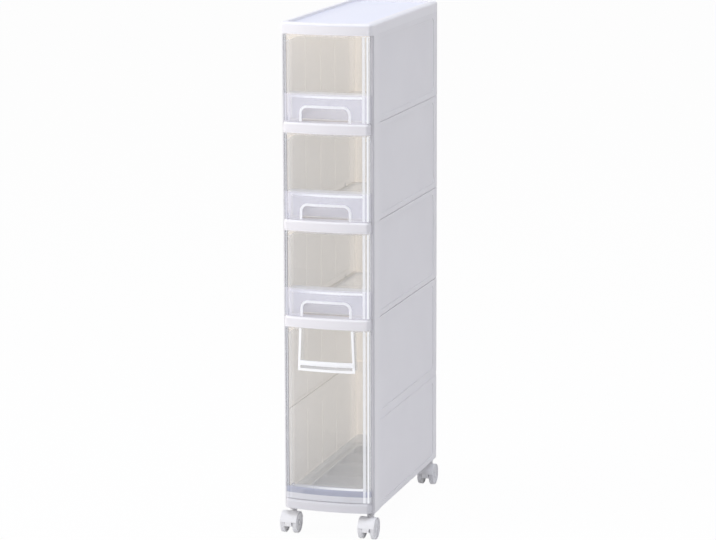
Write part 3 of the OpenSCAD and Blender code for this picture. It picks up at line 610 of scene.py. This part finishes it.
# %% [markdown]
# ## Clear plastic
# The masks, shares and tints come together here. The painted highlight is the brighter of line and end strips,
# and Layer Weight's Facing says how straight we look at it. Each share is added to Alpha, and each tint is
# laid over the one before.

# %% A clear material from its zones
def clear_plastic(name, haze_and_shade_z, haze_and_shade_tint, haze_and_shade_share, line_z, bead_share, bead_shine, sill_top=0.0):
    material, tree, principled = start_material(name, IOR=1.52, Emission_Strength=EDGE_GLOW)
    zones = clear_zones(tree, haze_and_shade_z, line_z, sill_top)
    facing = shader_node(tree, "ShaderNodeLayerWeight", {"Blend": 0.5}).outputs["Facing"]
    brightest = ramp(tree, facing, STRAIGHT_ON, (1.0, HIGHLIGHT_FROM_ASIDE))
    # the painted highlight: the brighter of line and end strips, fading when seen from the side
    zones["rim"] = product(tree, sum_of(tree, "MAXIMUM", zones["line"], zones["ribs"]), brightest)
    glancing = product(tree, sum_of(tree, "POWER", facing, GLANCING_POWER), GLANCING_SHARE)
    alpha = sum_of(tree, "ADD", CLEAR_BASE, glancing)
    for zone, share in (SHARES | {"bead": bead_share, "haze_and_shade": haze_and_shade_share}).items():
        alpha = sum_of(tree, "ADD", alpha, product(tree, zones[zone], share))
    tree.links.new(sum_of(tree, "MINIMUM", alpha, CLEAR_MOST), principled.inputs["Alpha"])
    # painted glow on the highlight, and on the beads by bead_shine
    shine = sum_of(tree, "MAXIMUM", zones["rim"], product(tree, zones["bead"], bead_shine))
    tree.links.new(blend_colour(tree, shine, FAINT_GLOW, MILK_AND_GLOW_TINT), principled.inputs["Emission Color"])
    tint = CLEAR_TINT
    for zone, zone_tint in (("walls", WALL_TINT), ("sill", SILL_TINT), ("haze_and_shade", haze_and_shade_tint),
                            ("bead", MILK_AND_GLOW_TINT), ("rim", HIGHLIGHT_BASE_TINT), ("far_end", FAR_END_SHADE)):
        tint = blend_colour(tree, zones[zone], tint, zone_tint)
    tree.links.new(tint, principled.inputs["Base Color"])
    add_polish(tree, principled)
    print("material", material.name)
    return material


print("clear plastic ready")

# %% [markdown]
# ## One clear material for each drawer
# Masks by height need a material for each drawer, because the drawers stand at different levels.
# The tall drawer has no finger pocket: in its place is a band of painted shade at the foot, where the space
# under its raised floor is dark, over a milky sill.

# %% Clear materials
# the painted highlight line sits this far above each deck
LINE_RISE = (0.0467, 0.0509)

clear = {
    name: clear_plastic(
        name + "_clear", haze_and_shade_z=(deck, deck + LEDGE_RISE), haze_and_shade_tint=HAZE_TINT, haze_and_shade_share=0.22,
        line_z=(deck + LINE_RISE[0], deck + LINE_RISE[1]), bead_share=0.52, bead_shine=0.0)
    for name, deck in DECKS.items()}
# the tall drawer: its band at the foot is painted shade, and its beads get a painted glow
clear["tall_drawer"] = clear_plastic(
    "tall_drawer_clear", haze_and_shade_z=(0.0838, 0.0955), haze_and_shade_tint=FOOT_SHADE_TINT, haze_and_shade_share=0.4,
    line_z=(0.0962, 0.1000), bead_share=0.7, bead_shine=0.3, sill_top=0.0838)

# %% [markdown]
# ## Handing the finishes to the solids
# The solids keep their meshes; only what their material slots hold changes. The record says which
# slot each node takes its finish from, so one table is enough.

# %% Dressing every node
FINISHES = {
    "white_plastic": white_plastic,
    "ivory_plastic": back_plastic,
    "caster_plastic": hood_plastic,
    "wheel_plastic": wheel_plastic,
    "steel": steel,
}
slot_of = {part["node"]: part["material_slot"] for part in frame["record"]["subparts"]}
for name, node in frame["nodes"].items():
    finish = clear.get(name) or FINISHES[slot_of[name]]
    node.data.materials.clear()
    node.data.materials.append(finish)
print("dressed", len(frame["nodes"]), "nodes")

# %% [markdown]
# ## Small trim: helpers
# Trim pieces are meshes made here. Each one rides on the body that carries it, and takes the material that it
# is given, so that it moves and is repainted with the rest.

# %% Making a trim piece
def trim_piece(name, mesh_maker, body, finish):
    mesh = bpy.data.meshes.new(name)
    build = bmesh.new()
    mesh_maker(build)
    bmesh.ops.recalc_face_normals(build, faces=build.faces)
    build.to_mesh(mesh)
    build.free()
    mesh.materials.append(finish)
    piece = bpy.data.objects.new(name, mesh)
    bpy.context.scene.collection.objects.link(piece)
    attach(piece, body)
    return piece


def turned(build, section, centre, axis_x, turns=48):
    """Turns a section of (distance along X, radius) points about a line along X."""
    rings = []
    for along, radius in section:
        ring = []
        for i in range(turns):
            angle = 2 * math.pi * i / turns
            ring.append(build.verts.new((
                centre.x + axis_x * along, centre.y + radius * math.cos(angle),
                centre.z + radius * math.sin(angle))))
        rings.append(ring)
    for low, high in zip(rings, rings[1:]):
        for i in range(turns):
            j = (i + 1) % turns
            build.faces.new((low[i], low[j], high[j], high[i]))
    build.faces.new(rings[0])
    build.faces.new(rings[-1])


print("trim helpers ready")

# %% [markdown]
# ## Wheel caps
# A pressed cap covers the end of each axle: a low dome with a stepped skirt, sunk a little into
# the wheel's hub. It is a section turned about the axle, so a lathe in code is the natural way.

# %% Caps on all eight wheels
CAP_SINK = 0.0016
CAP_SECTION = [(-0.0006, 0.0048), (0.0003, 0.0048), (0.0005, 0.0046), (0.0005, 0.0041),
               (0.0009, 0.0039), (0.0012, 0.0030), (0.0014, 0.0018), (0.00145, 0.0006)]
SUNK_SECTION = [(along - CAP_SINK, radius) for along, radius in CAP_SECTION]
caps = []
for corner in ("front_left", "front_right", "rear_left", "rear_right"):
    for side in ("outer", "inner"):
        low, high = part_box(f"{corner}_wheel_{side}")
        hood_low, hood_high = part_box(f"{corner}_hood")
        outward = 1 if (low.x + high.x) > (hood_low.x + hood_high.x) else -1
        face_x = high.x if outward > 0 else low.x
        centre = Vector((face_x, (low.y + high.y) / 2, (low.z + high.z) / 2))
        caps.append(trim_piece(
            f"{corner}_{side}_cap",
            lambda build, c=centre, s=outward: turned(build, SUNK_SECTION, c, s),
            f"{corner}_{side}_wheel", hood_plastic))
for cap in caps:
    for face in cap.data.polygons:
        face.use_smooth = True
print("caps:", len(caps))

# %% [markdown]
# ## The fluted band behind the small drawers' fronts
# The lower part of each small drawer's front looks frosted, because the wall behind the finger
# pocket has fine level flutes. Each flute is a shallow half-round bar, and all the bars of one
# drawer are one mesh on that drawer's body.

# %% Flutes
FLUTE_START = 0.005
FLUTE_MARGINS = 0.008
FLUTE_PITCH = 0.0036
FLUTE_HEIGHT = 0.0007
FLUTE_HALF = 0.0013
FLUTE_X = 0.0745
FLUTE_WALL_Y = -0.19775
FLUTE_STEPS = 6


def flutes(build, deck):
    for i in range(int((LEDGE_RISE - FLUTE_MARGINS) / FLUTE_PITCH)):
        z = deck + FLUTE_START + i * FLUTE_PITCH
        ends = []
        for x in (-FLUTE_X, FLUTE_X):
            arc = [(z + FLUTE_HALF * math.cos(t), FLUTE_WALL_Y - FLUTE_HEIGHT * math.sin(t))
                   for t in [math.pi * k / FLUTE_STEPS for k in range(FLUTE_STEPS + 1)]]
            ends.append([build.verts.new((x, y, zz)) for zz, y in arc])
        left, right_end = ends
        for k in range(FLUTE_STEPS):
            build.faces.new((left[k], left[k + 1], right_end[k + 1], right_end[k]))
        build.faces.new((left[0], left[-1], right_end[-1], right_end[0]))
        build.faces.new(left)
        build.faces.new(right_end)


for name, deck in DECKS.items():
    trim_piece(name + "_flutes", lambda build, d=deck: flutes(build, d), name, clear[name])
print("flutes on", len(DECKS), "drawers")

# %% [markdown]
# ## Floor
# The floor is a wide plain sheet. The eye sees it almost white, with only the soft shadow that
# the tower really throws, because its own shading is mixed with white on the way to the camera.

# %% A pale floor
FLOOR_REACH = 40
FLOOR_WHITENING = 0.97

floor_mesh = bpy.data.meshes.new("floor")
floor_mesh.from_pydata(
    [(-FLOOR_REACH, -FLOOR_REACH, 0), (FLOOR_REACH, -FLOOR_REACH, 0),
     (FLOOR_REACH, FLOOR_REACH, 0), (-FLOOR_REACH, FLOOR_REACH, 0)], [], [(0, 1, 2, 3)])
floor = bpy.data.objects.new("floor", floor_mesh)
bpy.context.scene.collection.objects.link(floor)

floor_material, floor_tree, floor_shader = start_material(
    "pale_floor", Base_Color=(0.93, 0.93, 0.93, 1), Roughness=0.9, Specular_IOR_Level=0.0)
glow = shader_node(floor_tree, "ShaderNodeEmission", {"Color": (1, 1, 1, 1), "Strength": SEEN_WHITE})
seen = product(floor_tree, seen_by_the_eye(floor_tree), FLOOR_WHITENING)
floor_mix = shader_node(floor_tree, "ShaderNodeMixShader", {
    0: seen, 1: floor_shader.outputs[0], 2: glow.outputs[0]})
floor_tree.links.new(floor_mix.outputs[0], floor_tree.nodes["Material Output"].inputs["Surface"])
floor_mesh.materials.append(floor_material)
print("floor:", 2 * FLOOR_REACH, "m across")
